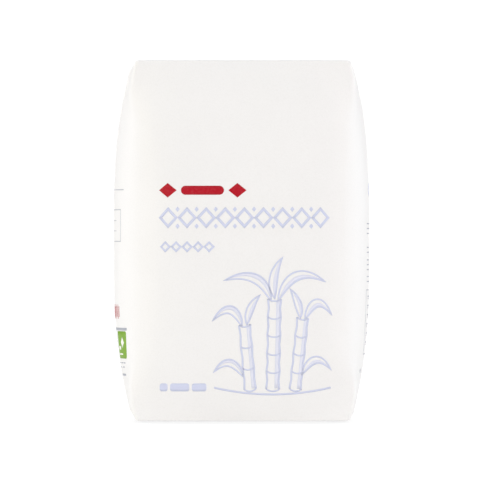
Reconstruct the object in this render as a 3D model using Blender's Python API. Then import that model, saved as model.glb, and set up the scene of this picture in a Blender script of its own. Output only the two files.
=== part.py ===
"""A shut paper packet of sugar: one kilogram in a block-shaped bag of white paper.

The bag is a paper tube with a fixed girth. Its ends are folded flat like a parcel: the two side
panels are tucked in first, one long flap is turned over them, and the other flap is glued on top.
Between the ends the sugar pushes every panel out, while the girth of the paper stays the same.

Metres, +Z up. The origin is the middle of the underside, and the front faces -Y.
"""

import math

import bmesh
import bpy
import numpy as np
from mathutils import Vector

MM = 0.001

# The folded ends, and how far the sugar swells the bag between them
HEIGHT = 155.0 * MM
END_WIDTH = 91.0 * MM
END_DEPTH = 68.0 * MM
MIDDLE_WIDTH = 110.5 * MM
MIDDLE_DEPTH = 78.0 * MM

# The swelling dies out towards the folded ends, in a long slope and in a short shoulder by each
# end. The shares say how much of the narrowing lies in the shoulder.
WIDTH_REACH = 76.0 * MM
WIDTH_POWER = 2.85
WIDTH_SHOULDER = 5.6 * MM
WIDTH_SHOULDER_SHARE = 0.175
DEPTH_REACH_TOP = 55.5 * MM
DEPTH_REACH_FOOT = 64.0 * MM
DEPTH_POWER = 2.5
DEPTH_SHOULDER = 15.0 * MM
DEPTH_SHOULDER_SHARE = 0.32
SHOULDER_POWER = 2.0

# How each corner crease runs, at these distances from the nearer end: its width, how far it has
# strayed from the fold line towards the side, and how long the front stays flat before it bends
# towards the crease, as a power
CREASE_RUN = np.array((0.0, 6.0, 13.0, 20.0, 27.0, 36.0, 46.0)) * MM
CREASE_WIDTH = np.array((2.4, 2.6, 3.0, 4.0, 7.0, 12.0, 16.0)) * MM
CREASE_STRAY = np.array((0.0, 1.8, 3.6, 5.0, 4.6, 2.4, 0.0)) * MM
FRONT_BEND = np.array((1.2, 1.5, 2.5, 4.0, 4.5, 4.2, 4.0))
END_EDGE_RADIUS = 1.0 * MM

# The folds of the ends
PLY = 0.4 * MM
FLAP_REACH = 12.0 * MM
PLY_SHOWING = 0.5 * MM
CUT_CLEARANCE = 6.0 * MM

# The glued lap that closes the paper tube, down the middle of the back
LAP_WIDTH = 12.0 * MM
LAP_STEP = 0.3 * MM

# Fineness of the faceted surface
FRONT_FACETS = 7
FRONT_CROWDING = 1.5
CREASE_FACETS = 5
SIDE_FACETS = 5
EDGE_FACETS = 3
BODY_ROWS = 30
SLOPE_ROUNDS = 24

PAPER_COLOUR = (0.90, 0.89, 0.875, 1.0)
PAPER_ROUGHNESS = 0.55


def clear_scene():
    """Remove whatever the open file holds."""
    for obj in list(bpy.data.objects):
        bpy.data.objects.remove(obj, do_unlink=True)


def new_collection(name):
    """A fresh collection in the open scene."""
    collection = bpy.data.collections.new(name)
    bpy.context.scene.collection.children.link(collection)
    return collection


def paper_material():
    """White uncoated paper."""
    material = bpy.data.materials.new("white_paper")
    material.use_nodes = True
    shader = material.node_tree.nodes["Principled BSDF"]
    shader.inputs["Base Color"].default_value = PAPER_COLOUR
    shader.inputs["Roughness"].default_value = PAPER_ROUGHNESS
    shader.inputs["Metallic"].default_value = 0.0
    return material


def lerp(low, high, share):
    """The value a share of the way from low to high."""
    return low + (high - low) * share


def pinch(z, top_reach, foot_reach, power):
    """1 at the folded ends, dying out to 0 within reach of them."""
    from_top = max(0.0, 1.0 - (HEIGHT - z) / top_reach)
    from_foot = max(0.0, 1.0 - z / foot_reach)
    return from_top ** power + from_foot ** power


def half_sizes(z):
    """Half the width and half the depth at a height."""
    slope = pinch(z, WIDTH_REACH, WIDTH_REACH, WIDTH_POWER)
    shoulder = pinch(z, WIDTH_SHOULDER, WIDTH_SHOULDER, SHOULDER_POWER)
    narrowing = lerp(slope, shoulder, WIDTH_SHOULDER_SHARE)
    slope = pinch(z, DEPTH_REACH_TOP, DEPTH_REACH_FOOT, DEPTH_POWER)
    shoulder = pinch(z, DEPTH_SHOULDER, DEPTH_SHOULDER, SHOULDER_POWER)
    thinning = lerp(slope, shoulder, DEPTH_SHOULDER_SHARE)
    half_width = lerp(MIDDLE_WIDTH, END_WIDTH, narrowing) / 2
    half_depth = lerp(MIDDLE_DEPTH, END_DEPTH, thinning) / 2
    return half_width, half_depth


def corner_crease(z):
    """The corner crease at a height: where it starts and ends along the paper, and the bend."""
    from_end = min(z, HEIGHT - z)
    middle = END_WIDTH / 2 + float(np.interp(from_end, CREASE_RUN, CREASE_STRAY))
    width = float(np.interp(from_end, CREASE_RUN, CREASE_WIDTH))
    bend = float(np.interp(from_end, CREASE_RUN, FRONT_BEND))
    return middle - width / 2, middle + width / 2, bend


def front_share(index):
    """How far along the front a facet starts: facets crowd towards the crease."""
    return 1.0 - (1.0 - index / FRONT_FACETS) ** FRONT_CROWDING


def quarter_walk(crease, front_slope, side_slope):
    """Steps (paper width, direction) from the middle of the front to the middle of a side.

    The front turns more and more towards the crease. Across the crease and along the side the
    direction turns evenly. The paper keeps its width whatever its shape.
    """
    crease_start, crease_end, bend = crease
    steps = []
    for index in range(FRONT_FACETS):
        start = front_share(index)
        end = front_share(index + 1)
        mean = (end ** (bend + 1) - start ** (bend + 1)) / ((bend + 1) * (end - start))
        steps.append((crease_start * (end - start), front_slope * mean))
    side_start = math.pi / 2 - side_slope
    stretches = (
        (crease_end - crease_start, front_slope, side_start, CREASE_FACETS),
        ((END_WIDTH + END_DEPTH) / 2 - crease_end, side_start, math.pi / 2, SIDE_FACETS),
    )
    for width, start, end, facets in stretches:
        for index in range(facets):
            steps.append((width / facets, lerp(start, end, (index + 0.5) / facets)))
    return steps


def walked_points(crease, front_slope, side_slope):
    """The points that the walk passes, starting at (0, 0)."""
    points = [Vector((0.0, 0.0))]
    for width, direction in quarter_walk(crease, front_slope, side_slope):
        points.append(points[-1] + width * Vector((math.cos(direction), math.sin(direction))))
    return points


def quarter_points(z):
    """Points of a quarter of the section, from the middle of the front to that of a side.

    The slopes of the panels at the crease are found by turns, until the walk ends at the
    bag's half width and half depth.
    """
    half_width, half_depth = half_sizes(z)
    crease = corner_crease(z)
    front_slope = 0.0
    side_slope = 0.0
    for _ in range(SLOPE_ROUNDS):
        reached = walked_points(crease, front_slope, side_slope)[-1]
        side_slope += (half_width - reached.x) / (END_DEPTH / 4)
        front_slope += (half_depth - reached.y) / (END_WIDTH / 4)
    points = walked_points(crease, front_slope, side_slope)
    return [Vector((point.x, point.y - points[-1].y)) for point in points]


def with_lap(points):
    """The front quarter's points with the raised edge of the glued lap added."""
    edge = LAP_WIDTH / 2
    surface = points[0].lerp(points[1], edge / points[1].x)
    step = Vector((0.0, LAP_STEP))
    outer = [points[0] - step, surface - step]
    return outer + [surface] + points[1:]


def section(z, inset):
    """The closed outline of the bag at a height, drawn in by inset, seen from above."""
    quarter = quarter_points(z)
    lapped = with_lap(quarter)
    right_front = quarter[:-1]
    right_back = [Vector((point.x, -point.y)) for point in reversed(lapped)]
    left_back = [Vector((-point.x, -point.y)) for point in lapped[1:-1]]
    left_front = [Vector((-point.x, point.y)) for point in reversed(quarter[1:])]
    ring = right_front + right_back + left_back + left_front
    wide = max(point.x for point in ring)
    deep = max(point.y for point in ring)
    scale = Vector(((wide - inset) / wide, (deep - inset) / deep))
    return [(point.x * scale.x, point.y * scale.y, z) for point in ring]


def row_heights():
    """Pairs (height, inset): rounded end edges, and rows that crowd where the shape turns."""
    rounding = []
    for index in range(EDGE_FACETS):
        turn = math.pi / 2 * index / EDGE_FACETS
        rise = END_EDGE_RADIUS * (1.0 - math.cos(turn))
        inset = END_EDGE_RADIUS * (1.0 - math.sin(turn))
        rounding.append((rise, inset))
    straight = HEIGHT - 2 * END_EDGE_RADIUS
    body = []
    for index in range(BODY_ROWS + 1):
        share = (1.0 - math.cos(math.pi * index / BODY_ROWS)) / 2
        body.append((END_EDGE_RADIUS + straight * share, 0.0))
    top = [(HEIGHT - rise, inset) for rise, inset in reversed(rounding)]
    return rounding + body + top


def filled_tube(name, collection, material):
    """The whole bag before its end folds: a loft of sections, closed flat at both ends."""
    mesh = bpy.data.meshes.new(name)
    bm = bmesh.new()
    rings = []
    for z, inset in row_heights():
        rings.append([bm.verts.new(point) for point in section(z, inset)])
    for lower, upper in zip(rings, rings[1:]):
        for index, corner in enumerate(lower):
            following = (index + 1) % len(lower)
            bm.faces.new((corner, lower[following], upper[following], upper[index]))
    bm.faces.new(reversed(rings[0]))
    bm.faces.new(rings[-1])
    bmesh.ops.recalc_face_normals(bm, faces=bm.faces)
    bm.to_mesh(mesh)
    bm.free()
    mesh.materials.append(material)
    mesh.shade_smooth()
    mesh.set_sharp_from_angle(angle=math.radians(30.0))
    bag = bpy.data.objects.new(name, mesh)
    collection.objects.link(bag)
    return bag


def slab(name, outline, low, high, collection):
    """A flat outline as a closed slab between two heights, for cutting."""
    curve = bpy.data.curves.new(name, "CURVE")
    curve.dimensions = "2D"
    curve.fill_mode = "BOTH"
    curve.extrude = (high - low) / 2
    spline = curve.splines.new("POLY")
    spline.points.add(len(outline) - 1)
    for point, (x, y) in zip(spline.points, outline):
        point.co = (x, y, 0.0, 1.0)
    spline.use_cyclic_u = True
    flat = bpy.data.objects.new(name + "_outline", curve)
    flat.location.z = (low + high) / 2
    collection.objects.link(flat)
    bpy.context.view_layer.update()
    evaluated = flat.evaluated_get(bpy.context.evaluated_depsgraph_get())
    mesh = bpy.data.meshes.new_from_object(evaluated)
    bm = bmesh.new()
    bm.from_mesh(mesh)
    bmesh.ops.remove_doubles(bm, verts=bm.verts, dist=0.01 * MM)
    bmesh.ops.recalc_face_normals(bm, faces=bm.faces)
    bm.to_mesh(mesh)
    bm.free()
    cutter = bpy.data.objects.new(name, mesh)
    collection.objects.link(cutter)
    cutter.matrix_world = flat.matrix_world
    cutter.hide_render = True
    cutter.display_type = "WIRE"
    bpy.data.objects.remove(flat, do_unlink=True)
    return cutter


def under_outer_flap():
    """Outline of all that the outer flap leaves uncovered: the front part and both tucks.

    The outer flap comes from the back edge. Its sides run in at 45 degrees from the corners,
    where the tucked side panels fold it, and its tongue reaches past the middle.
    """
    wide = END_WIDTH / 2
    deep = END_DEPTH / 2
    tongue = wide - deep
    out = CUT_CLEARANCE
    return [
        (wide + out, deep + out),
        (tongue, 0.0),
        (tongue, -FLAP_REACH),
        (-tongue, -FLAP_REACH),
        (-tongue, 0.0),
        (-wide - out, deep + out),
        (-wide - out, -deep - out),
        (wide + out, -deep - out),
    ]


def tuck(side):
    """Outline of the side panel that shows between the two flaps: a triangle to the tongue."""
    wide = END_WIDTH / 2
    deep = END_DEPTH / 2
    out = CUT_CLEARANCE
    apex = wide - deep + PLY_SHOWING * math.sqrt(2.0)
    run = wide + out - apex
    return [(side * apex, 0.0), (side * (wide + out), -run), (side * (wide + out), run)]


def cut(bag, cutter):
    """Take the cutter out of the bag."""
    boolean = bag.modifiers.new(cutter.name, "BOOLEAN")
    boolean.operation = "DIFFERENCE"
    boolean.object = cutter


def fold_end(bag, name, face, inward, cutters):
    """Step the end at height face into its three layers: outer flap, inner flap and tucks.

    inward is 1 where the bag lies above the face and -1 where it lies below.
    """
    beyond = face - inward * CUT_CLEARANCE
    first = face + inward * PLY
    second = face + inward * 2 * PLY
    layers = [("inner_flap", under_outer_flap(), first)]
    layers.append(("tuck_left", tuck(-1), second))
    layers.append(("tuck_right", tuck(1), second))
    for layer, outline, depth in layers:
        low = min(beyond, depth)
        high = max(beyond, depth)
        cut(bag, slab(name + "_" + layer, outline, low, high, cutters))


def build():
    """The bag with both ends folded."""
    clear_scene()
    parts = new_collection("sugar_packet")
    cutters = new_collection("sugar_packet_cutters")
    bag = filled_tube("sugar_bag", parts, paper_material())
    fold_end(bag, "foot", 0.0, 1, cutters)
    fold_end(bag, "top", HEIGHT, -1, cutters)


build()
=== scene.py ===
"""The looks of a shut, full paper packet of sugar.

The packet is one tube of white paper. Its front, sides and back are a fine mesh that follows the
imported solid, with the creases and slack of real paper. Each end is folded like a parcel from the
same mesh: two tucked sides, an inner flap and an outer flap. The print is thin shapes of ink that
lie on the paper.

A place on the paper is (u, z): u is the distance round the girth from the middle of the front,
growing to the right as seen from outside, and z is the height.
"""

import math

import bpy
import numpy as np
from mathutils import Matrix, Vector


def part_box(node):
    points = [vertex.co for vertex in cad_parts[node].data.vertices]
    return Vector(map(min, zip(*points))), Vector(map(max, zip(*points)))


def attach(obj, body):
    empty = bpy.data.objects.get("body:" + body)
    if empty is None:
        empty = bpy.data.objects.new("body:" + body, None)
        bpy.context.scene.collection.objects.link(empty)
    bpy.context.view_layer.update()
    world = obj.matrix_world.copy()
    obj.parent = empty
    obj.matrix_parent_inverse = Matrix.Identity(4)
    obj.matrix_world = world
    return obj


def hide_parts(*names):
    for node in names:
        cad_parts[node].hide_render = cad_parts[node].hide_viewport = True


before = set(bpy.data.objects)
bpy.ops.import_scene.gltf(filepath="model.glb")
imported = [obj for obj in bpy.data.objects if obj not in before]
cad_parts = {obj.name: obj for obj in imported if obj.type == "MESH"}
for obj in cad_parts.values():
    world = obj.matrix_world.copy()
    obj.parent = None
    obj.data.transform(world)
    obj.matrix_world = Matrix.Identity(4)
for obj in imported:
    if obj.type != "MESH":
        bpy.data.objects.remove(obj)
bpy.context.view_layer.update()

MM = 0.001


def mm(*lengths):
    """Lengths in millimetres, as metres."""
    return [length * MM for length in lengths]


# ---- sizes

NODE = "sugar_bag"
low_corner, high_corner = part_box(NODE)
HEIGHT = high_corner.z - low_corner.z
MIDDLE_WIDTH = high_corner.x - low_corner.x
MIDDLE_DEPTH = -2 * low_corner.y
END_WIDTH = 91.0 * MM
END_DEPTH = 68.0 * MM
GIRTH = 2 * (END_WIDTH + END_DEPTH)
QUARTER = GIRTH / 4

# How the swelling dies out towards the folded ends: a long slope and a short shoulder by each end
WIDTH_REACH = 76.0 * MM
WIDTH_POWER = 2.85
WIDTH_SHOULDER = 5.6 * MM
WIDTH_SHOULDER_SHARE = 0.175
DEPTH_REACH_TOP = 55.5 * MM
DEPTH_REACH_FOOT = 64.0 * MM
DEPTH_POWER = 2.5
DEPTH_SHOULDER = 15.0 * MM
DEPTH_SHOULDER_SHARE = 0.32
SHOULDER_POWER = 2.0

# How the corner creases run, by the distance from the nearer end: the width of the crease, how far
# it has strayed from the fold line towards the side, and how late the front bends towards it. A
# share of the turn is made in the crease's sharp middle.
CREASE_RUN = mm(0.0, 6.0, 13.0, 20.0, 27.0, 36.0, 46.0)
CREASE_WIDTH = mm(2.4, 2.6, 3.0, 4.0, 7.0, 12.0, 16.0)
CREASE_STRAY = mm(0.0, 1.8, 3.6, 5.0, 4.6, 2.4, 0.0)
FRONT_BEND = (1.2, 1.5, 2.5, 4.0, 4.5, 4.2, 4.0)
SHARP_CREASE = 1.2 * MM
SHARP_SHARE = 0.16

# The folded ends: the radius of their edges, the step from one flap to the next, how far each flap
# and tucked side reaches past the middle, how far the top has sunk, and the paper's thickness
EDGE_RADIUS = 0.5 * MM
PLY = 0.4 * MM
OUTER_FLAP_REACH = 12.0 * MM
INNER_FLAP_REACH = 8.0 * MM
TUCK_REACH = 1.0 * MM
TOP_SAG = 0.9 * MM
PAPER_THICKNESS = 0.2 * MM

# The glued lap down the middle of the back: its width, its height, and where its soft side rises
LAP_WIDTH = 12.0 * MM
LAP_STEP = 0.25 * MM
LAP_RISE = mm(-2.5, 1.5)

# The four corner creases, and the middles of the panels, as places round the girth
CORNER_FR = END_WIDTH / 2
CORNER_BR = CORNER_FR + END_DEPTH
CORNER_BL = CORNER_BR + END_WIDTH
CORNER_FL = CORNER_BL + END_DEPTH
CORNERS = (CORNER_FR, CORNER_BR, CORNER_BL, CORNER_FL)
RIGHT_MIDDLE = QUARTER
BACK_MIDDLE = GIRTH / 2
LEFT_MIDDLE = 3 * QUARTER


# ---- the shape of the filled tube

# A quarter of the section is bent from even steps at each height of a table, and its slopes at
# the middles of the front and the side are found in a few rounds
STEPS = 318
STEP = QUARTER / STEPS
STEP_MIDDLES = (np.arange(STEPS) + 0.5) * STEP
TABLE_ROWS = 311
TABLE_HEIGHTS = np.linspace(0.0, HEIGHT, TABLE_ROWS)
SLOPE_ROUNDS = 24
NORMAL_REACH = 0.3 * MM


def smooth(low, high, value):
    """0 below low, 1 above high, and an even S between."""
    share = np.clip((value - low) / (high - low), 0.0, 1.0)
    return share * share * (3.0 - 2.0 * share)


def mix(low, high, share):
    """The value a share of the way from low to high."""
    return low + (high - low) * share


def pinch(z, top_reach, foot_reach, power):
    """1 at the folded ends, dying out to 0 within reach of them."""
    from_top = max(0.0, 1.0 - (HEIGHT - z) / top_reach)
    from_foot = max(0.0, 1.0 - z / foot_reach)
    return from_top ** power + from_foot ** power


def half_sizes(z):
    """Half the width and half the depth at a height."""
    slope = pinch(z, WIDTH_REACH, WIDTH_REACH, WIDTH_POWER)
    shoulder = pinch(z, WIDTH_SHOULDER, WIDTH_SHOULDER, SHOULDER_POWER)
    narrowing = mix(slope, shoulder, WIDTH_SHOULDER_SHARE)
    slope = pinch(z, DEPTH_REACH_TOP, DEPTH_REACH_FOOT, DEPTH_POWER)
    shoulder = pinch(z, DEPTH_SHOULDER, DEPTH_SHOULDER, SHOULDER_POWER)
    thinning = mix(slope, shoulder, DEPTH_SHOULDER_SHARE)
    half_width = mix(MIDDLE_WIDTH, END_WIDTH, narrowing) / 2
    half_depth = mix(MIDDLE_DEPTH, END_DEPTH, thinning) / 2
    return half_width, half_depth


def bending(z):
    """The corner crease's middle and width, and how late the front bends towards it."""
    from_end = min(z, HEIGHT - z)
    crease = float(np.interp(from_end, CREASE_RUN, CREASE_WIDTH))
    middle = CORNER_FR + float(np.interp(from_end, CREASE_RUN, CREASE_STRAY))
    return middle, crease, float(np.interp(from_end, CREASE_RUN, FRONT_BEND))


def directions(corner, crease, bend, front_slope, side_slope):
    """The paper's direction at each step from the middle of the front to that of a side.

    The front is nearly flat in its middle and bends towards the crease. The paper turns quickly
    across the corner crease, most of all in its sharp middle, and evenly on the side.
    """
    turning = math.pi / 2 - side_slope - front_slope
    sharp = min(SHARP_CREASE, crease / 2)
    places = (corner - crease / 2, corner - sharp / 2, corner + sharp / 2, corner + crease / 2,
              QUARTER)
    turned = (
        front_slope,
        front_slope + turning * (1 - SHARP_SHARE) / 2,
        front_slope + turning * (1 + SHARP_SHARE) / 2,
        front_slope + turning,
        math.pi / 2,
    )
    panel = front_slope * np.clip(STEP_MIDDLES / places[0], 0.0, 1.0) ** bend
    return np.where(STEP_MIDDLES < places[0], panel, np.interp(STEP_MIDDLES, places, turned))


def quarter_section(z):
    """Points of a quarter of the section at a height: the paper keeps its girth."""
    half_width, half_depth = half_sizes(z)
    bends = bending(z)
    front_slope = 0.0
    side_slope = 0.0
    for _ in range(SLOPE_ROUNDS):
        angle = directions(*bends, front_slope, side_slope)
        side_slope += (half_width - STEP * np.cos(angle).sum()) / (END_DEPTH / 4)
        front_slope += (half_depth - STEP * np.sin(angle).sum()) / (END_WIDTH / 4)
    angle = directions(*bends, front_slope, side_slope)
    x = np.concatenate(([0.0], np.cumsum(STEP * np.cos(angle))))
    y = np.concatenate(([0.0], np.cumsum(STEP * np.sin(angle))))
    return x, y[-1] - y


sections = [quarter_section(z) for z in TABLE_HEIGHTS]
TABLE_X = np.array([x for x, _ in sections])
TABLE_Y = np.array([y for _, y in sections])


def read_table(table, row, column):
    """A table of numbers or points, read between its rows and columns."""
    r = np.clip(np.floor(row).astype(int), 0, table.shape[0] - 2)
    c = np.clip(np.floor(column).astype(int), 0, table.shape[1] - 2)
    parts = (1,) * (table.ndim - 2)
    fr = (row - r).reshape(row.shape + parts)
    fc = (column - c).reshape(column.shape + parts)
    lower = table[r, c] * (1 - fc) + table[r, c + 1] * fc
    upper = table[r + 1, c] * (1 - fc) + table[r + 1, c + 1] * fc
    return lower * (1 - fr) + upper * fr


def plain_tube(u, z):
    """Places on the paper before its slack and creases are added, as (..., 3) points."""
    turn = np.mod(u, GIRTH)
    left = turn > GIRTH / 2
    turn = np.where(left, GIRTH - turn, turn)
    back = turn > QUARTER
    turn = np.where(back, GIRTH / 2 - turn, turn)
    row = np.clip(z / HEIGHT, 0.0, 1.0) * (TABLE_ROWS - 1)
    x = read_table(TABLE_X, row, turn / STEP)
    y = read_table(TABLE_Y, row, turn / STEP)
    return np.stack((np.where(left, -x, x), np.where(back, y, -y), z), axis=-1)


def unit(vectors):
    """Vectors at length one."""
    return vectors / np.linalg.norm(vectors, axis=-1, keepdims=True)


def tube_normal(u, z):
    """The outward direction of the plain tube."""
    along = plain_tube(u + NORMAL_REACH, z) - plain_tube(u - NORMAL_REACH, z)
    low_z = np.clip(z - NORMAL_REACH, 0.0, HEIGHT)
    high_z = np.clip(z + NORMAL_REACH, 0.0, HEIGHT)
    up = plain_tube(u, high_z) - plain_tube(u, low_z)
    return unit(np.cross(along, up))


# ---- slack, creases and the lap

# Hills and hollows in the paper: for each kind a seed, the size of a hill, and its height on the
# front and elsewhere. They die out towards the ends, and grow outside the taut front.
WAVES = (
    (11, *mm(30.0, 0.10, 0.22)),
    (12, *mm(11.0, 0.03, 0.09)),
)
WAVE_GAIN = 1.6
WAVE_FADE = 9.0 * MM
TAUT_FRONT = mm(38.0, 52.0)

# The triangle that a side panel folds into beside each end: its height, its ridges' height, width
# and rounding, how they start at the end and the corners, and where they begin to die out
FACET_REACH = 34.0 * MM
FACET_RIDGE = 0.35 * MM
FACET_RIDGE_WIDTH = 2.6 * MM
FACET_RIDGE_TOP = 0.4 * MM
FACET_START = 2.5 * MM
FACET_CORNER = (0.02, 0.16)
FACET_FADE = 0.55

# Small folds that fan out from every corner: slants from upright in degrees, how far they vary, and
# in millimetres the ranges of where one starts, and of its length, height and width. On the front
# they are lower, by a share.
FAN_SLANTS = (18.0, 40.0, 66.0)
FAN_SLANT_CHANGE = 7.0
FAN_START = (1.5, 4.0)
FAN_SIZES = ((11.0, 26.0), (0.12, 0.34), (1.6, 3.0))
FRONT_FAN_SHARE = 0.35

# Marks of handling: the middle of each panel that has them and how far they spread from it in
# millimetres, their number on a panel, lean in radians, and ranges like those above
MARK_PANELS = ((RIGHT_MIDDLE, 24), (LEFT_MIDDLE, 24), (BACK_MIDDLE, 36))
MARKS = 7
MARK_RISE = (0.15, 0.85)
MARK_LEAN = 0.7
MARK_SIZES = ((16.0, 42.0), (0.06, 0.16), (2.0, 4.0))

# All these folds: the seed, how they start beside an end, and their rounding by their width
FOLD_SEED = 5
FOLD_FADE = 2.0 * MM
FOLD_TOP = 0.25


def wave_sheet(seed, cell):
    """A smooth random height in -1 to 1 over the paper, with hills of about this size."""
    around = max(4, round(GIRTH / cell))
    up = round(HEIGHT / cell) + 4
    lattice = np.random.default_rng(seed).uniform(-1.0, 1.0, (up, around))

    def weights(part):
        return (
            (1 - part) ** 3 / 6,
            (3 * part ** 3 - 6 * part ** 2 + 4) / 6,
            (-3 * part ** 3 + 3 * part ** 2 + 3 * part + 1) / 6,
            part ** 3 / 6,
        )

    def height(u, z):
        a = np.mod(u, GIRTH) / GIRTH * around
        b = np.clip(z / cell + 1.0, 0.0, up - 3.001)
        ia = np.floor(a).astype(int)
        ib = np.floor(b).astype(int)
        total = 0.0
        for i, wa in enumerate(weights(a - ia)):
            for j, wb in enumerate(weights(b - ib)):
                total = total + wa * wb * lattice[np.clip(ib + j, 0, up - 1), (ia + i) % around]
        return total * WAVE_GAIN

    return height


def around_gap(u, middle):
    """Signed distance round the girth from a place."""
    return np.mod(u - middle + GIRTH / 2, GIRTH) - GIRTH / 2


def fold_line(u, z, start, end, height, width):
    """A short crease from start to end: a soft-edged ridge, or a groove if height is below 0."""
    du = around_gap(u, start[0])
    dz = z - start[1]
    run = np.array((end[0] - start[0], end[1] - start[1]))
    length = float(np.hypot(*run))
    run = run / length
    along = (du * run[0] + dz * run[1]) / length
    across = du * run[1] - dz * run[0]
    taper = np.clip(4.0 * along * (1.0 - along), 0.0, 1.0)
    return height * taper * np.exp(-np.hypot(across, FOLD_TOP * width) / width)


def tuck_facet(u, z, middle, from_end):
    """How far the ridges of a side panel's folded triangle stand up, beside one end."""
    share = 1.0 - np.abs(around_gap(u, middle)) / (END_DEPTH / 2)
    line = FACET_REACH * np.clip(share, 0.0, 1.0)
    across = (from_end - line) / math.hypot(1.0, FACET_REACH / (END_DEPTH / 2))
    on_side = smooth(*FACET_CORNER, share)
    fade = 1.0 - smooth(FACET_FADE * FACET_REACH, FACET_REACH, from_end)
    ridge = FACET_RIDGE * np.exp(-np.hypot(across, FACET_RIDGE_TOP) / FACET_RIDGE_WIDTH)
    return on_side * fade * ridge * smooth(0.0, FACET_START, from_end)


def fold_sizes(rng, length, height, width):
    """A ridge's or groove's length, height and width, from their ranges in millimetres."""
    size = rng.uniform(*length) * MM
    return size, rng.choice((-1, 1)) * rng.uniform(*height) * MM, rng.uniform(*width) * MM


def corner_folds(rng):
    """The small folds that fan out from the eight corners."""
    folds = []
    for corner_index, corner in enumerate(CORNERS):
        for end, away in ((0.0, 1), (HEIGHT, -1)):
            for side in (-1, 1):
                on_front = (corner_index, side) in ((0, -1), (3, 1))
                strength = FRONT_FAN_SHARE if on_front else 1.0
                for slant in FAN_SLANTS:
                    change = rng.uniform(-FAN_SLANT_CHANGE, FAN_SLANT_CHANGE)
                    angle = math.radians(slant + change)
                    begin = rng.uniform(*FAN_START) * MM
                    length, height, width = fold_sizes(rng, *FAN_SIZES)
                    du = side * math.sin(angle)
                    dz = away * math.cos(angle)
                    start = (corner + du * begin, end + dz * begin)
                    stop = (corner + du * (begin + length), end + dz * (begin + length))
                    folds.append((start, stop, height * strength, width))
    return folds


def handling_marks(rng):
    """Long faint creases on the sides and the back."""
    folds = []
    for middle, spread in MARK_PANELS:
        for _ in range(MARKS):
            u = middle + rng.uniform(-spread, spread) * MM
            z = rng.uniform(*MARK_RISE) * HEIGHT
            angle = rng.uniform(-MARK_LEAN, MARK_LEAN)
            length, height, width = fold_sizes(rng, *MARK_SIZES)
            stop = (u + length * math.sin(angle), z + length * math.cos(angle))
            folds.append(((u, z), stop, height, width))
    return folds


fold_rng = np.random.default_rng(FOLD_SEED)
FOLDS = corner_folds(fold_rng) + handling_marks(fold_rng)
WAVE_SHEETS = [(wave_sheet(seed, hill), front, rest) for seed, hill, front, rest in WAVES]


def lap_height(u):
    """The glued lap down the back: the upper sheet ends in a crisp edge, the other side is soft."""
    gap = around_gap(u, BACK_MIDDLE)
    soft = smooth(*LAP_RISE, gap + LAP_WIDTH / 2)
    return LAP_STEP * soft * (gap <= LAP_WIDTH / 2)


def slack(u, z):
    """How far the real paper lies off the plain tube."""
    from_end = np.minimum(z, HEIGHT - z)
    on_front = 1.0 - smooth(*TAUT_FRONT, np.abs(around_gap(u, 0.0)))
    total = lap_height(u)
    for sheet, front, rest in WAVE_SHEETS:
        total = total + smooth(0.0, WAVE_FADE, from_end) * mix(rest, front, on_front) * sheet(u, z)
    away_from_end = smooth(0.0, FOLD_FADE, from_end)
    for start, stop, height, width in FOLDS:
        total = total + away_from_end * fold_line(u, z, start, stop, height, width)
    for middle in (RIGHT_MIDDLE, LEFT_MIDDLE):
        total = total + tuck_facet(u, z, middle, from_end)
    return total


def real_tube(u, z):
    """Places on the paper as it really lies."""
    return plain_tube(u, z) + slack(u, z)[..., None] * tube_normal(u, z)


# ---- the paper's mesh

# The mesh is fine at the creases and folded edges, and grows coarser away from them
FINE = 0.4 * MM
COARSE = 1.9 * MM
GROWTH = 0.13
LAP_EDGE = 0.06 * MM
LAP_EDGE_ROOM = 0.3 * MM

# The turns of the paper over a rounded edge, and the angle from which an edge is shaded as sharp
EDGE_TURNS = np.radians((22.5, 45.0, 67.5, 90.0))
SHARP_ANGLE = math.radians(42.0)

# How gradually the panels come to their flaps' levels, along the girth and up the height
DROP_SPREAD = 2.5 * MM
DROP_RISE = 5.0 * MM

# How far in from its edge a flap's rows are straight, and lie at the flap's own level
STRAIGHT_FROM = 2.5 * MM
LEVEL_FROM = 4.0 * MM

# How fast a tucked side narrows, and half the width of its tip
TUCK_TAPER = 0.82
TUCK_TIP = 4.0 * MM


def graded(span):
    """Places from 0 to span, close together at 0 and further apart away from it."""
    places = [0.0]
    while places[-1] < span:
        places.append(places[-1] + min(FINE + GROWTH * places[-1], COARSE))
    return [place * span / places[-1] for place in places]


def girth_places():
    """Columns of the mesh: fine at the corner creases and at the edge of the lap."""
    columns = set()
    spans = [END_WIDTH / 2, END_DEPTH / 2]
    for corner in CORNERS:
        columns.update(round(corner - place, 7) for place in graded(spans[0])[:-1])
        columns.update(round(corner + place, 7) for place in graded(spans[1])[:-1])
        spans.reverse()
    columns.update((0.0, QUARTER, BACK_MIDDLE, LEFT_MIDDLE))
    edge = BACK_MIDDLE + LAP_WIDTH / 2
    columns = {u for u in columns if abs(u - edge) > LAP_EDGE_ROOM}
    columns.update((edge, edge + LAP_EDGE))
    return np.array(sorted(columns))


COLUMNS = girth_places()
half_rows = [EDGE_RADIUS + place for place in graded(HEIGHT / 2 - EDGE_RADIUS)]
ROWS = np.array(half_rows + [HEIGHT - z for z in reversed(half_rows[:-1])])


def layer_drop(u):
    """How far under the outer flap's level each panel's own fold lies."""
    drop = np.zeros_like(u)
    for middle, half, plies in (
        (0.0, END_WIDTH / 2, 1),
        (RIGHT_MIDDLE, END_DEPTH / 2, 2),
        (LEFT_MIDDLE, END_DEPTH / 2, 2),
    ):
        gap = np.abs(around_gap(u, middle))
        drop = drop + plies * PLY * (1.0 - smooth(half - DROP_SPREAD, half + DROP_SPREAD, gap))
    return drop


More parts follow.
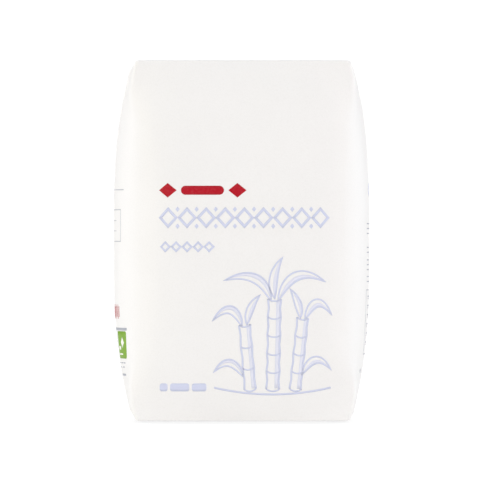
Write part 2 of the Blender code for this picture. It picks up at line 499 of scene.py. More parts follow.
grid_u, grid_z = np.meshgrid(COLUMNS, ROWS)
BODY = real_tube(grid_u, grid_z)
top_ramp = smooth(HEIGHT - DROP_RISE, HEIGHT - EDGE_RADIUS, grid_z)
foot_ramp = 1.0 - smooth(EDGE_RADIUS, DROP_RISE, grid_z)
BODY[..., 2] += (foot_ramp - top_ramp) * layer_drop(COLUMNS)[None, :]


class Mesh:
    """Points and faces that grow piece by piece."""

    def __init__(self):
        self.points = []
        self.faces = []

    def add(self, points):
        """Adds points and gives their numbers."""
        first = len(self.points)
        self.points.extend(tuple(point) for point in points)
        return list(range(first, len(self.points)))

    def strip(self, lower, upper, flip=False):
        """Faces between two rows of points of the same length."""
        for a, b, c, d in zip(lower, lower[1:], upper[1:], upper):
            self.faces.append((d, c, b, a) if flip else (a, b, c, d))


def add_piece(name, points, faces, material, thickness):
    """A smooth sheet in the scene, thickened inwards."""
    mesh = bpy.data.meshes.new(name)
    mesh.from_pydata(points, [], faces)
    mesh.update()
    mesh.materials.append(material)
    mesh.shade_smooth()
    piece = bpy.data.objects.new(name, mesh)
    bpy.context.scene.collection.objects.link(piece)
    solidify = piece.modifiers.new("thickness", "SOLIDIFY")
    solidify.thickness = thickness
    solidify.offset = -1.0
    return piece


def ring_rows(top):
    """Rows of points that turn the paper over the rounded edge of one end."""
    row = BODY[-1] if top else BODY[0]
    upright = -1.0 if top else 1.0
    flat = row[:, :2]
    ahead = np.roll(flat, -1, axis=0) - np.roll(flat, 1, axis=0)
    outward = unit(np.stack((ahead[:, 1], -ahead[:, 0]), axis=-1))
    rows = []
    for turn in EDGE_TURNS:
        points = row.copy()
        points[:, :2] -= outward * (EDGE_RADIUS * (1.0 - math.cos(turn)))
        points[:, 2] -= upright * (EDGE_RADIUS * math.sin(turn))
        rows.append(points)
    return rows


def end_sag(x, y, top):
    """The closed end dips a little in the middle at the top, and stands flat at the foot."""
    if not top:
        return np.zeros_like(x)
    across = np.clip(1.0 - (x / (END_WIDTH / 2)) ** 2, 0.0, 1.0)
    along = np.clip(1.0 - (y / (END_DEPTH / 2)) ** 2, 0.0, 1.0)
    return TOP_SAG * np.sqrt(across * along)


def flap(mesh, ring, numbers, chosen, inward, length, half_at, plies, top):
    """A panel's end folded in over the packet, narrowing as half_at says."""
    edge = ring[chosen]
    side = np.array((-inward[1], inward[0]))
    sideways = edge[:, :2] @ side
    depth = edge[:, :2] @ np.array(inward)
    start = depth.min()
    half = np.abs(sideways).max()
    line = depth - start
    rows = [[numbers[i] for i in chosen]]
    level = HEIGHT - plies * PLY if top else plies * PLY
    for reach in graded(length)[1:]:
        across = sideways * (half_at(half, reach) / half)
        inwards = start + reach + line * max(0.0, 1.0 - reach / STRAIGHT_FROM)
        x = across * side[0] + inwards * inward[0]
        y = across * side[1] + inwards * inward[1]
        settle = smooth(0.0, LEVEL_FROM, np.full_like(x, reach))
        own = edge[:, 2] * (1 - settle) + level * settle
        z = own - end_sag(x, y, top)
        rows.append(mesh.add(np.stack((x, y, z), axis=-1)))
    flip = not top
    for lower, upper in zip(rows, rows[1:]):
        mesh.strip(lower, upper, flip)


def parcel_flap(half, reach):
    """Half the width of a long flap: its sides run in at 45 degrees to a straight tongue."""
    tongue = (END_WIDTH - END_DEPTH) / 2
    return max(tongue, half - reach)


def tuck_shape(half, reach):
    """Half the width of a tucked side, which narrows a little less and so reaches under."""
    return max(TUCK_TIP, half - TUCK_TAPER * reach)


def columns_between(start, stop):
    """Column numbers from one corner to the next, both included."""
    count = len(COLUMNS)
    first = int(np.argmin(np.abs(COLUMNS - start)))
    last = int(np.argmin(np.abs(COLUMNS - stop)))
    if last <= first:
        last += count
    return [i % count for i in range(first, last + 1)]


def fold_end(mesh, edge_numbers, top):
    """One folded end: the rounded edge, two tucks, the inner flap and the outer flap."""
    lower = edge_numbers
    for ring in ring_rows(top):
        upper = mesh.add(ring)
        mesh.strip(lower + lower[:1], upper + upper[:1], flip=not top)
        lower = upper
    tuck_length = END_DEPTH / 2 + TUCK_REACH
    inner_length = END_DEPTH / 2 + INNER_FLAP_REACH
    outer_length = END_DEPTH / 2 + OUTER_FLAP_REACH - EDGE_RADIUS
    right = columns_between(CORNER_FR, CORNER_BR)
    back = columns_between(CORNER_BR, CORNER_BL)
    left = columns_between(CORNER_BL, CORNER_FL)
    front = columns_between(CORNER_FL, CORNER_FR)
    flap(mesh, ring, lower, right, (-1, 0), tuck_length, tuck_shape, 2, top)
    flap(mesh, ring, lower, left, (1, 0), tuck_length, tuck_shape, 2, top)
    flap(mesh, ring, lower, front, (0, 1), inner_length, parcel_flap, 1, top)
    flap(mesh, ring, lower, back, (0, -1), outer_length, parcel_flap, 0, top)


def paper_tube(material):
    """The whole paper packet with both folded ends."""
    mesh = Mesh()
    rows = [mesh.add(row) for row in BODY]
    for lower, upper in zip(rows, rows[1:]):
        mesh.strip(lower + lower[:1], upper + upper[:1])
    fold_end(mesh, rows[0], top=False)
    fold_end(mesh, rows[-1], top=True)
    piece = add_piece("packet_paper", mesh.points, mesh.faces, material, PAPER_THICKNESS)
    piece.data.set_sharp_from_angle(angle=SHARP_ANGLE)
    return piece


# ---- materials

def linear(red, green, blue):
    """A colour given as it shows on a screen (0 to 255), as the renderer's linear colour."""
    out = []
    for value in (red, green, blue):
        share = value / 255.0
        out.append(share / 12.92 if share <= 0.04045 else ((share + 0.055) / 1.055) ** 2.4)
    return (*out, 1.0)


# The paper's base colour where its mottling is lightest and darkest, and its darker flecks
PAPER_LIGHT = (0.874, 0.872, 0.872, 1.0)
PAPER_SHADE = (0.859, 0.856, 0.855, 1.0)
PLAIN = (1.0, 1.0, 1.0, 1.0)
FLECK = (0.965, 0.965, 0.962, 1.0)

INKS = {
    "red": linear(178, 4, 30),
    "lilac": linear(208, 213, 236),
    "pale_lilac": linear(226, 228, 243),
    "grey": linear(176, 180, 190),
    "green": linear(122, 166, 30),
    "white": linear(246, 246, 240),
}

# How much of the paper shows where an ink is thinnest, and the ranges of roughness
INK_THINNING = 0.02
PAPER_ROUGHNESS = (0.46, 0.62)
INK_ROUGHNESS = (0.40, 0.52)

# The paper's relief: its cockle and its felt of fibres
COCKLE_HEIGHT = 0.05 * MM
FELT_HEIGHT = 0.012 * MM


def colour_ramp(nodes, links, value, stops):
    """Colours along a value: stops are (place, colour)."""
    node = nodes.new("ShaderNodeValToRGB")
    elements = node.color_ramp.elements
    while len(elements) < len(stops):
        elements.new(0.5)
    for element, (place, colour) in zip(elements, stops):
        element.position = place
        element.color = colour
    links.new(value, node.inputs["Fac"])
    return node.outputs["Color"]


class Shader:
    """A material's nodes, made and joined by short calls."""

    def __init__(self, name):
        self.material = bpy.data.materials.new(name)
        self.material.use_nodes = True
        self.nodes = self.material.node_tree.nodes
        self.links = self.material.node_tree.links
        self.surface = self.nodes["Principled BSDF"]
        self.place = self.nodes.new("ShaderNodeTexCoord").outputs["Object"]

    def put(self, value, socket):
        """A value or another node's output into a socket."""
        if isinstance(value, (int, float, tuple)):
            socket.default_value = value
        else:
            self.links.new(value, socket)

    def feed(self, socket, value):
        """A value or another node's output into one of the surface's sockets."""
        self.put(value, self.surface.inputs[socket])

    def noise(self, scale, detail, roughness=0.55):
        """A noise of this many hills a metre."""
        node = self.nodes.new("ShaderNodeTexNoise")
        node.inputs["Scale"].default_value = scale
        node.inputs["Detail"].default_value = detail
        node.inputs["Roughness"].default_value = roughness
        self.links.new(self.place, node.inputs["Vector"])
        return node.outputs["Fac"]

    def ramp(self, value, *stops):
        """Colours along a value: stops are (place, colour)."""
        return colour_ramp(self.nodes, self.links, value, stops)

    def product(self, first, second):
        """Two colours multiplied."""
        node = self.nodes.new("ShaderNodeMix")
        node.data_type = "RGBA"
        node.blend_type = "MULTIPLY"
        node.inputs["Factor"].default_value = 1.0
        self.links.new(first, node.inputs["A"])
        self.links.new(second, node.inputs["B"])
        return node.outputs["Result"]

    def maths(self, kind, operation, output, *values):
        """The output of one step of arithmetic, of the kind Math or VectorMath."""
        node = self.nodes.new("ShaderNode" + kind)
        node.operation = operation
        for value, socket in zip(values, node.inputs):
            self.put(value, socket)
        return node.outputs[output]

    def spread(self, value, low, high):
        """A value from 0 to 1 spread over low to high."""
        node = self.nodes.new("ShaderNodeMapRange")
        node.inputs["To Min"].default_value = low
        node.inputs["To Max"].default_value = high
        self.links.new(value, node.inputs["Value"])
        return node.outputs["Result"]

    def bump(self, value, distance, strength, under=None):
        """Relief of this distance, on top of another bump if one is given."""
        node = self.nodes.new("ShaderNodeBump")
        node.inputs["Distance"].default_value = distance
        node.inputs["Strength"].default_value = strength
        self.links.new(value, node.inputs["Height"])
        if under is not None:
            self.links.new(under, node.inputs["Normal"])
        return node.outputs["Normal"]


def fibre_relief(shader, strength=1.0):
    """The paper's surface: a felt of short fibres over a faint cockle."""
    cockle = shader.bump(shader.noise(190.0, 2.0), COCKLE_HEIGHT, 0.6 * strength)
    return shader.bump(shader.noise(2600.0, 4.0, 0.65), FELT_HEIGHT, strength, cockle)


def paper_material():
    """White bleached paper with a faint machine sheen."""
    shader = Shader("white_paper")
    mottle = shader.noise(42.0, 4.0)
    tone = shader.ramp(mottle, (0.3, PAPER_SHADE), (0.7, PAPER_LIGHT))
    felt = shader.noise(1500.0, 3.0, 0.7)
    flecks = shader.ramp(felt, (0.25, FLECK), (0.55, PLAIN))
    shader.feed("Base Color", shader.product(tone, flecks))
    shader.feed("Roughness", shader.spread(shader.noise(300.0, 3.0), *PAPER_ROUGHNESS))
    shader.feed("Specular IOR Level", 0.45)
    shader.feed("Normal", fibre_relief(shader))
    return shader.material


def ink_material(name, colour):
    """Ink printed on the paper: a little uneven, and a little smoother than the paper."""
    shader = Shader(name)
    thin = (*(mix(part, 1.0, INK_THINNING) for part in colour[:3]), 1.0)
    cover = shader.noise(900.0, 3.0, 0.6)
    shader.feed("Base Color", shader.ramp(cover, (0.30, thin), (0.55, colour)))
    shader.feed("Roughness", shader.spread(shader.noise(500.0, 2.0), *INK_ROUGHNESS))
    shader.feed("Specular IOR Level", 0.25)
    shader.feed("Normal", fibre_relief(shader, 0.7))
    return shader.material


INK_MATERIALS = {name: ink_material(name + "_ink", colour) for name, colour in INKS.items()}


# ---- printing

# How far the ink lies off the paper, how thick it is, and how long its faces are at most
INK_LIFT = 0.05 * MM
INK_BODY = 0.07 * MM
PRINT_STEP = 1.4 * MM

# Limits that keep shapes open: the share of a bar that its corners may cut, half the width of a
# lozenge's tip, and the cosine at which a mitre stops growing
CUT_LIMIT = 0.96
LOZENGE_TIP = 0.01 * MM
MITRE_LIMIT = 0.4
TINY = 1e-12

# The paper's mesh and its outward directions, with the first column again at the end
along_girth = np.roll(BODY, -1, axis=1) - np.roll(BODY, 1, axis=1)
normals = unit(np.cross(along_girth, np.gradient(BODY, axis=0)))
SKIN = np.concatenate((BODY, BODY[:, :1]), axis=1)
SKIN_NORMALS = np.concatenate((normals, normals[:, :1]), axis=1)
SKIN_COLUMNS = np.append(COLUMNS, COLUMNS[0] + GIRTH)


def on_skin(u, z, lift):
    """Points at places on the paper's mesh, lifted off it."""
    turn = np.mod(u, GIRTH)
    turn = np.where(turn < COLUMNS[0], turn + GIRTH, turn)
    column = np.interp(turn, SKIN_COLUMNS, np.arange(len(SKIN_COLUMNS)))
    row = np.interp(z, ROWS, np.arange(len(ROWS)))
    normal = unit(read_table(SKIN_NORMALS, row, column))
    return read_table(SKIN, row, column) + lift * normal


class Print:
    """Shapes of one ink on one panel. Places are in metres from the panel's own origin (u0, z0)."""

    def __init__(self, name, ink, u0=0.0, z0=0.0, lift=INK_LIFT):
        self.name = name
        self.ink = ink
        self.origin = np.array((u0, z0))
        self.lift = lift
        self.places = []
        self.faces = []

    def grid(self, places):
        """Faces over a grid of places, shape (rows, columns, 2), anticlockwise from outside."""
        places = np.asarray(places, float)
        rows, columns = places.shape[:2]
        first = len(self.places)
        self.places.extend((places.reshape(-1, 2) + self.origin).tolist())
        for r in range(rows - 1):
            for c in range(columns - 1):
                a = first + r * columns + c
                self.faces.append((a, a + 1, a + columns + 1, a + columns))

    def between(self, across, lower, upper):
        """The field between a lower and an upper edge, given at each place across."""
        tall = max(2, int(np.max(upper - lower) / PRINT_STEP) + 2)
        share = np.linspace(0.0, 1.0, tall)[:, None]
        rows = lower[None, :] * (1 - share) + upper[None, :] * share
        wide = np.broadcast_to(across[None, :], rows.shape)
        self.grid(np.stack((wide, rows), axis=-1))

    def bar(self, left, bottom, width, height, corner=None):
        """A bar with rounded corners."""
        corner = min(width, height) / 2 if corner is None else corner
        bend = corner * (1.0 - np.cos(np.linspace(0.0, math.pi / 2, 7)))
        middle = np.linspace(corner, width - corner, max(2, int(width / PRINT_STEP)))
        across = np.concatenate((bend[:-1], middle, width - bend[-2::-1]))
        inside = np.minimum(across, width - across)
        short = np.clip(corner - inside, 0, None)
        cut = corner - np.sqrt(np.clip(corner ** 2 - short ** 2, 0, None))
        cut = np.minimum(cut, height / 2 * CUT_LIMIT)
        self.between(left + across, bottom + cut, bottom + height - cut)

    def lozenge(self, u, z, width, height):
        """A solid lozenge about its middle."""
        across = np.linspace(-1.0, 1.0, 9)
        tall = np.maximum((1.0 - np.abs(across)) * height / 2, LOZENGE_TIP)
        self.between(u + across * width / 2, z - tall, z + tall)

    def outlined_lozenge(self, u, z, half_width, half_height, stroke):
        """An open lozenge about its middle, measured along the middle of its outline."""
        self.line([(u - half_width, z), (u, z - half_height), (u + half_width, z),
                   (u, z + half_height)], stroke, closed=True)

    def line(self, places, width, closed=False):
        """A line of even width through places, mitred at its corners."""
        path = np.asarray(places, float)
        loop = np.concatenate((path, path[:1])) if closed else path
        dense = [loop[0]]
        for a, b in zip(loop, loop[1:]):
            parts = max(1, math.ceil(np.linalg.norm(b - a) / PRINT_STEP))
            for part in range(1, parts + 1):
                dense.append(a + (b - a) * part / parts)
        dense = np.array(dense)
        before = unit(dense - np.roll(dense, 1, axis=0) + TINY)
        after = unit(np.roll(dense, -1, axis=0) - dense + TINY)
        ends = (before[-1], after[0]) if closed else (after[0], before[-1])
        before[0], after[-1] = ends
        lean = unit(before + after)
        left = np.stack((-lean[:, 1], lean[:, 0]), axis=-1)
        square = np.stack((-before[:, 1], before[:, 0]), axis=-1)
        reach = width / 2 / np.clip((left * square).sum(axis=1), MITRE_LIMIT, 1.0)[:, None]
        self.grid(np.stack((dense - left * reach, dense + left * reach)))

    def finish(self):
        """The print as a thin piece on the paper."""
        places = np.array(self.places)
        points = on_skin(places[:, 0], places[:, 1], self.lift)
        ink = INK_MATERIALS[self.ink]
        piece = add_piece(self.name, points.tolist(), self.faces, ink, INK_BODY)
        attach(piece, "root")


def curve(start, bend, end, count=18):
    """Places along a smooth curve from start to end, drawn towards bend."""
    share = np.linspace(0.0, 1.0, count)[:, None]
    start, bend, end = (np.array(p, float) for p in (start, bend, end))
    return (1 - share) ** 2 * start + 2 * share * (1 - share) * bend + share ** 2 * end


# ---- the motifs

# The red rule, by its height: its lozenges' width, the gaps beside them and the bar's thickness
RULE_WING = 1.25
RULE_GAP = 0.3
RULE_BAR = 0.62

# The crystal band: the share of the pitch that a crystal fills, and the small ones' height and
# place by the band's height, and width by their own
CRYSTAL_FILL = 0.98
SMALL_CRYSTAL = 0.26
SMALL_RISE = 0.42
SMALL_WIDTH = 0.8

# Small print: how full the last line is, and the bars' lengths in millimetres, gaps, least room
# and corners by their thickness
LAST_LINE = (0.55, 0.8)
WORD_LENGTH = (2.6, 7.5)
WORD_GAP = 0.9 * MM
WORD_ROOM = 2.0 * MM
WORD_CORNER = 0.45


def red_rule(name, left, middle, width, height, u0=0.0):
    """A red rule: a bar between two lozenges."""
    ink = Print(name, "red", u0)
    wing = RULE_WING * height
    ink.lozenge(left + wing / 2, middle, wing, height)
    ink.lozenge(left + width - wing / 2, middle, wing, height)
    gap = RULE_GAP * height
    thick = RULE_BAR * height
    ink.bar(left + wing + gap, middle - thick / 2, width - 2 * (wing + gap), thick)
    ink.finish()


def crystal_band(name, left, middle, count, pitch, height, stroke, u0=0.0):
    """A row of outlined lozenges, with small solid ones in the notches between them."""
    ink = Print(name, "lilac", u0)
    half_width = (pitch * CRYSTAL_FILL - stroke) / 2
    half_height = (height - stroke) / 2
    small = SMALL_CRYSTAL * height
    for index in range(count):
        u = left + pitch * (index + 0.5)
        ink.outlined_lozenge(u, middle, half_width, half_height, stroke)
        if index:
            for up in (-1, 1):
                rise = up * height * SMALL_RISE
                ink.lozenge(u - pitch / 2, middle + rise, small * SMALL_WIDTH, small)
    ink.finish()


LEAVES = (
    # start, bend, tip and greatest half width, in millimetres from the foot of the drawing
    ((-0.8, 39.5), (-5.0, 54.0), (-20.5, 48.0), 1.9),
    ((2.4, 39.5), (8.0, 56.0), (22.5, 47.5), 1.9),
    ((0.8, 40.5), (-1.5, 50.0), (4.0, 57.5), 1.7),
    ((-13.2, 28.6), (-17.0, 41.0), (-25.5, 31.0), 1.7),
    ((-11.0, 29.2), (-10.5, 37.0), (-5.6, 41.5), 1.4),
    ((13.9, 31.6), (18.5, 44.0), (25.5, 33.5), 1.7),
    ((11.8, 32.2), (11.5, 39.0), (7.6, 44.0), 1.4),
    ((-12.6, 7.0), (-18.0, 17.5), (-25.0, 9.0), 1.5),
    ((12.6, 8.0), (18.0, 19.0), (25.0, 10.0), 1.5),
)
STALKS = (
    # foot, top and width, likewise
    ((0.0, 1.5), (0.8, 40.0), 5.6),
    ((-9.6, 1.5), (-12.0, 29.0), 4.9),
    ((9.6, 1.5), (12.8, 32.0), 4.9),
)
GROUND = ((-25.0, 2.2), (0.0, -3.6), (25.0, 2.2))

# The drawing's finer lines by its stroke, and the lift of shading and of white marks by other ink's
LEAF_STROKE = 0.85
KNOT_STROKE = 0.8
SHADE_LIFT = 0.6
WHITE_LIFT = 1.8

# A stalk: the length of a joint, its waist by its width, how far a knot's line dips, and the two
# edges across of the shaded strip
JOINT = 8.5 * MM
WAIST = 0.86
KNOT_DIP = 1.8 * MM
STALK_SHADE = (-0.9, -0.25)


def leaf_edges(leaf):
    """The spine and the two edges of a blade, in metres."""
    start, bend, tip, half = leaf
    spine = curve(start, bend, tip) * MM
    ahead = unit(np.gradient(spine, axis=0))
    share = np.linspace(0.0, 1.0, len(spine))
    swell = half * MM * np.sin(math.pi * share ** 0.8) ** 0.9
    side = np.stack((-ahead[:, 1], ahead[:, 0]), axis=-1) * swell[:, None]
    return spine, spine + side, spine - side


def cane_drawing(name, u0, z0, scale=1.0, stroke=0.85 * MM):
    """A line drawing of sugar cane: three jointed stalks with long leaves."""
    lines = Print(name + "_lines", "lilac", u0, z0)
    shade = Print(name + "_shade", "pale_lilac", u0, z0, INK_LIFT * SHADE_LIFT)
    for leaf in LEAVES:
        spine, left, right = leaf_edges(leaf)
        outline = np.concatenate((left, right[-2:0:-1])) * scale
        lines.line(outline, stroke * LEAF_STROKE, closed=True)
        shade.grid(np.stack((right[1:-1], spine[1:-1])) * scale)
    for foot, top, width in STALKS:
        foot = np.array(foot) * MM * scale
        top = np.array(top) * MM * scale
        run = top - foot
        length = float(np.linalg.norm(run))
        run = run / length
        side = np.array((-run[1], run[0])) * width * MM * scale / 2
        joints = max(2, round(length / (JOINT * scale)))
        for left in (-1, 1):
            edge = [foot + side * left]
            for joint in range(joints):
                waist = foot + run * length * (joint + 0.5) / joints + side * left * WAIST
                knuckle = foot + run * length * (joint + 1.0) / joints + side * left
                edge.extend((waist, knuckle))
            lines.line(edge, stroke)
        for joint in range(joints + 1):
            middle = foot + run * length * joint / joints
            knot = curve(middle + side, middle - run * KNOT_DIP * scale, middle - side, 7)
            lines.line(knot, stroke * KNOT_STROKE)
        shade.grid([[foot + run * length * part + side * across
                     for part in np.linspace(0.01, 0.99, 16)] for across in STALK_SHADE])
    lines.line(curve(*GROUND, 26) * MM * scale, stroke)
    shade.finish()
    lines.finish()


def box_line(ink, left, bottom, width, height, stroke):
    """A thin rectangle."""
    ink.line([(left, bottom), (left + width, bottom), (left + width, bottom + height),
              (left, bottom + height)], stroke, closed=True)


def text_bars(ink, left, top, width, count, pitch, seed, thick=0.7 * MM):
    """Plain bars in the place of small print."""
    rng = np.random.default_rng(seed)
    for row in range(count):
        z = top - row * pitch
        u = left
        end = left + width * (rng.uniform(*LAST_LINE) if row == count - 1 else 1.0)
        while u < end - WORD_ROOM:
            word = min(rng.uniform(*WORD_LENGTH) * MM, end - u)
            ink.bar(u, z, word, thick, thick * WORD_CORNER)
            u += word + WORD_GAP


# ---- the four printed panels

def front_print():
    """The front: a red rule, a band of crystals, a small band, the drawing and plain bars."""
    red_rule("front_red_rule", *mm(-36.2, 99.0, 37.6, 6.2))
    crystal_band("front_crystal_band", *mm(-36.2, 87.3), 9, *mm(8.16, 8.6, 1.15))
    small = Print("front_small_band", "lilac")
    half = 1.85 * MM
    for index in range(5):
        u = (-35.7 + 4.7 * (index + 0.5)) * MM
        small.outlined_lozenge(u, 74.9 * MM, half, half, 0.85 * MM)
    small.finish()
    cane_drawing("front_cane", *mm(12.6, 12.6))
    bars = Print("front_bars", "lilac")
    for left, width in ((-35.7, 3.4), (-31.2, 8.2), (-21.9, 6.2)):
        bars.bar(*mm(left, 13.2, width, 3.4, 1.0))
    bars.finish()


def left_print():
    """The left side: a ruled box, a row of red ticks, a green field and plain bars."""
    grey = Print("left_grey_print", "grey", LEFT_MIDDLE)
    grey.bar(*mm(-20.3, 99.2, 40.6, 0.35))
    box_line(grey, *mm(-17.2, 77.2, 34.4, 13.6, 0.3))
    for z in (81.6, 86.0):
        grey.bar(*mm(-15.6, z, 26.0, 0.25))
    text_bars(grey, *mm(-24, 72.0, 22), 8, 2.1 * MM, 21)
    grey.bar(*mm(-23.4, 38.9, 46.8, 1.2, 0.2))
    text_bars(grey, *mm(-24, 36.0, 28), 4, 2.2 * MM, 22)
    text_bars(grey, *mm(-24, 24.8, 45), 3, 1.8 * MM, 23, 0.45 * MM)
    grey.bar(*mm(11, 19.5, 10, 0.9))
    grey.finish()
    red = Print("left_red_ticks", "red", LEFT_MIDDLE)
    for index in range(17):
        tall = (6.2 if index % 2 else 4.6) * MM
        red.bar((13.6 - 1.7 * index) * MM, 47.0 * MM - tall / 2, 0.6 * MM, tall)
    red.finish()
    green = Print("left_green_field", "green", LEFT_MIDDLE)
    green.bar(*mm(8.0, 26.9, 14.6, 11.7, 1.2))
    green.finish()
    marks = Print("left_white_marks", "white", LEFT_MIDDLE, 0.0, INK_LIFT * WHITE_LIFT)
    marks.lozenge(*mm(17.0, 33.8, 5.0, 4.6))
    marks.bar(*mm(9.6, 30.6, 4.4, 1.6))
    marks.bar(*mm(9.6, 28.4, 7.4, 0.7))
    marks.finish()


def right_print():
    """The right side: paragraphs of plain bars above a ruled table."""
    grey = Print("right_grey_print", "grey", RIGHT_MIDDLE)
    for seed, (top, rows) in enumerate(((84.6, 3), (74.4, 2), (69.0, 3), (61.8, 2)), 31):
        text_bars(grey, *mm(-11.6, top, 24), rows, 2.1 * MM, seed, 0.45 * MM)
    foot, height, rows = 28.7, 27.6, 7
    box_line(grey, *mm(-12.5, foot, 25, height, 0.35))
    for row in range(1, rows):
        grey.bar(*mm(-9.0, foot + height * row / rows, 21.5, 0.25))
    text_bars(grey, *mm(-9.0, 53.2, 14), rows - 1, height / rows * MM, 35, 0.6 * MM)
    grey.lozenge(*mm(-18, 21.7, 2.3, 2.3))
    grey.finish()
    crystal_band("right_crystal_band", *mm(-7.5, 99.6), 4, *mm(5.0, 5.2, 0.8), RIGHT_MIDDLE)


def back_print():
    """The back: a rule, crystals and plain bars on one side of the lap, a drawing on the other."""
    u0 = BACK_MIDDLE
    red_rule("back_red_rule", *mm(-38.0, 112.0, 28.0, 3.8), u0)
    crystal_band("back_crystal_band", *mm(-38.0, 103.5), 5, *mm(5.6, 5.9, 0.85), u0)
    grey = Print("back_grey_print", "grey", u0)
    text_bars(grey, *mm(-38.0, 94.0, 28.0), 12, 2.4 * MM, 41)
    text_bars(grey, *mm(-38.0, 60.0, 28.0), 10, 2.4 * MM, 42)
    grey.finish()
    cane_drawing("back_cane", u0 + 24.0 * MM, 30.0 * MM, 0.58, 0.6 * MM)


# ---- stage, light and camera

# The floor: its side, how far it lies under the packet, its paleness and glow, and the white that
# the camera sees in its place
FLOOR_SIZE = 8.0
FLOOR_DROP = 0.2 * MM
FLOOR_ALBEDO = 0.25
FLOOR_GLOW = 0.635
FLOOR_SEEN = 1.18

# The share of the floor's own lit shading that the camera is shown instead of plain white, at these
# distances from a rectangle under the packet, given by its half sizes. The lit floor is greyer than
# that white, so this paints a darker patch round the packet: partly its real shadow, partly painted
# shadow.
SHADOW_CORE = (END_WIDTH / 2 - 30.0 * MM, END_DEPTH / 2, 0.0)
SHADOW_REACH = 0.2
SHADOW_SEEN = ((0.026, 0.8), (0.045, 0.35), (SHADOW_REACH, 0.0))

# The room's light by the height of its direction, 1 being straight up: none from low down, a warm
# white ring and a cool white ceiling. The camera sees a plain white behind the packet.
ROOM_LIGHT = (
    (0.22, (0.0, 0.0, 0.0, 1.0)),
    (0.28, (0.837, 0.824, 0.797, 1.0)),
    (0.60, (0.837, 0.824, 0.797, 1.0)),
    (0.70, (0.747, 0.810, 0.864, 1.0)),
)
BACKGROUND = (1.05, 1.05, 1.05, 1.0)

# Softboxes: degrees round from the front, distance, height of the middle, width, height, power in
# watts and tint
SOFTBOXES = {
    "softbox_left": (-60.0, 1.25, 0.22, 0.6, 0.4, 5.76, (1.00, 0.92, 0.78)),
    "softbox_right": (60.0, 1.25, 0.34, 0.6, 0.4, 5.67, (1.00, 0.905, 0.825)),
    "rim_left": (-120.0, 1.25, 0.25, 0.6, 0.4, 2.1, (0.79, 0.84, 1.00)),
    "rim_right": (120.0, 1.25, 0.25, 0.6, 0.4, 2.05, (0.69, 0.84, 1.00)),
    "softbox_front": (0.0, 1.8, 0.6, 1.2, 0.8, 1.2, (0.40, 0.50, 1.00)),
    "softbox_back": (180.0, 1.25, 0.25, 0.6, 0.4, 3.6, (1.00, 0.94, 0.85)),
}

# The camera: its turn from straight ahead, distance from the front, frame's width there, sensor's
# width, and aim
CAMERA_AZIMUTH = math.radians(-0.94)
CAMERA_DISTANCE = 3.0
FRAME_WIDTH = 206.3 * MM
SENSOR_WIDTH = 36.0
CAMERA_AIM = (-0.1 * MM, 0.0, 0.4977 * HEIGHT)


def floor():
    """A plain pale floor that the camera sees as white, but for a faint shadow near the packet."""
    bpy.ops.mesh.primitive_plane_add(size=FLOOR_SIZE, location=(0.0, 0.0, -FLOOR_DROP))
    plane = bpy.context.object
    plane.name = "floor"
    shader = Shader("pale_floor")
    shader.feed("Base Color", (FLOOR_ALBEDO, FLOOR_ALBEDO, FLOOR_ALBEDO, 1.0))
    shader.feed("Roughness", 0.9)
    shader.feed("Specular IOR Level", 0.1)
    shader.feed("Emission Color", PLAIN)
    shader.feed("Emission Strength", FLOOR_GLOW)
    white = shader.nodes.new("ShaderNodeEmission")
    white.inputs["Strength"].default_value = FLOOR_SEEN
    # Nearer the packet, more of the greyer lit floor shows: painted shadow over the real one
    place = shader.maths("VectorMath", "ABSOLUTE", "Vector", shader.place)
    place = shader.maths("VectorMath", "SUBTRACT", "Vector", place, SHADOW_CORE)
    place = shader.maths("VectorMath", "MAXIMUM", "Vector", place, (0.0, 0.0, 0.0))
    away = shader.maths("VectorMath", "LENGTH", "Value", place)
    part = shader.maths("Math", "DIVIDE", "Value", away, SHADOW_REACH)
    stops = [(distance / SHADOW_REACH, (1.0 - share, 1.0 - share, 1.0 - share, 1.0))
             for distance, share in SHADOW_SEEN]
    camera_ray = shader.nodes.new("ShaderNodeLightPath").outputs["Is Camera Ray"]
    share = shader.maths("Math", "MULTIPLY", "Value", shader.ramp(part, *stops), camera_ray)
    seen = shader.nodes.new("ShaderNodeMixShader")
    shader.links.new(share, seen.inputs["Fac"])
    shader.links.new(shader.surface.outputs["BSDF"], seen.inputs[1])
    shader.links.new(white.outputs["Emission"], seen.inputs[2])
    output = shader.nodes["Material Output"]
    shader.links.new(seen.outputs["Shader"], output.inputs["Surface"])
    plane.data.materials.append(shader.material)


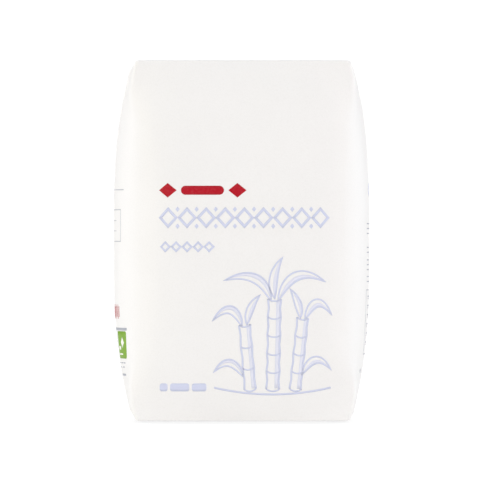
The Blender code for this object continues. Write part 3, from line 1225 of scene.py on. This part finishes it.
def softbox(name, around, reach, rise, width, height, power, tint):
    """A softbox on a stand, turned to the middle of the packet."""
    light = bpy.data.lights.new(name, "AREA")
    light.shape = "RECTANGLE"
    light.size = width
    light.size_y = height
    light.energy = power
    light.color = tint
    lamp = bpy.data.objects.new(name, light)
    away = Vector((math.sin(math.radians(around)), -math.cos(math.radians(around)), 0.0))
    lamp.location = away * reach + Vector((0.0, 0.0, rise))
    aim = Vector((0.0, 0.0, HEIGHT / 2)) - lamp.location
    lamp.rotation_euler = aim.to_track_quat("-Z", "Y").to_euler()
    bpy.context.scene.collection.objects.link(lamp)


def white_room():
    """Soft light from above and all round, before a pure white background."""
    world = bpy.data.worlds.new("white_room")
    world.use_nodes = True
    nodes = world.node_tree.nodes
    links = world.node_tree.links
    background = nodes["Background"]
    direction = nodes.new("ShaderNodeTexCoord")
    parts = nodes.new("ShaderNodeSeparateXYZ")
    links.new(direction.outputs["Generated"], parts.inputs["Vector"])
    light = colour_ramp(nodes, links, parts.outputs["Z"], ROOM_LIGHT)
    seen = nodes.new("ShaderNodeMix")
    seen.data_type = "RGBA"
    seen.inputs["B"].default_value = BACKGROUND
    links.new(nodes.new("ShaderNodeLightPath").outputs["Is Camera Ray"], seen.inputs["Factor"])
    links.new(light, seen.inputs["A"])
    links.new(seen.outputs["Result"], background.inputs["Color"])
    bpy.context.scene.world = world


def camera():
    """A level camera with a long lens, a touch left of straight ahead."""
    data = bpy.data.cameras.new("camera")
    data.sensor_width = SENSOR_WIDTH
    data.lens = SENSOR_WIDTH * CAMERA_DISTANCE / FRAME_WIDTH
    eye = bpy.data.objects.new("camera", data)
    reach = CAMERA_DISTANCE + END_DEPTH / 2
    back = Vector((math.sin(CAMERA_AZIMUTH), -math.cos(CAMERA_AZIMUTH), 0.0))
    eye.location = Vector(CAMERA_AIM) + back * reach
    eye.rotation_euler = (-back).to_track_quat("-Z", "Y").to_euler()
    bpy.context.scene.collection.objects.link(eye)
    bpy.context.scene.camera = eye


# ---- the scene

bpy.context.scene.view_settings.view_transform = "Standard"
packet = paper_tube(paper_material())
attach(packet, "root")
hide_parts(NODE)
front_print()
left_print()
right_print()
back_print()
floor()
white_room()
for light_name, light_values in SOFTBOXES.items():
    softbox(light_name, *light_values)
camera()
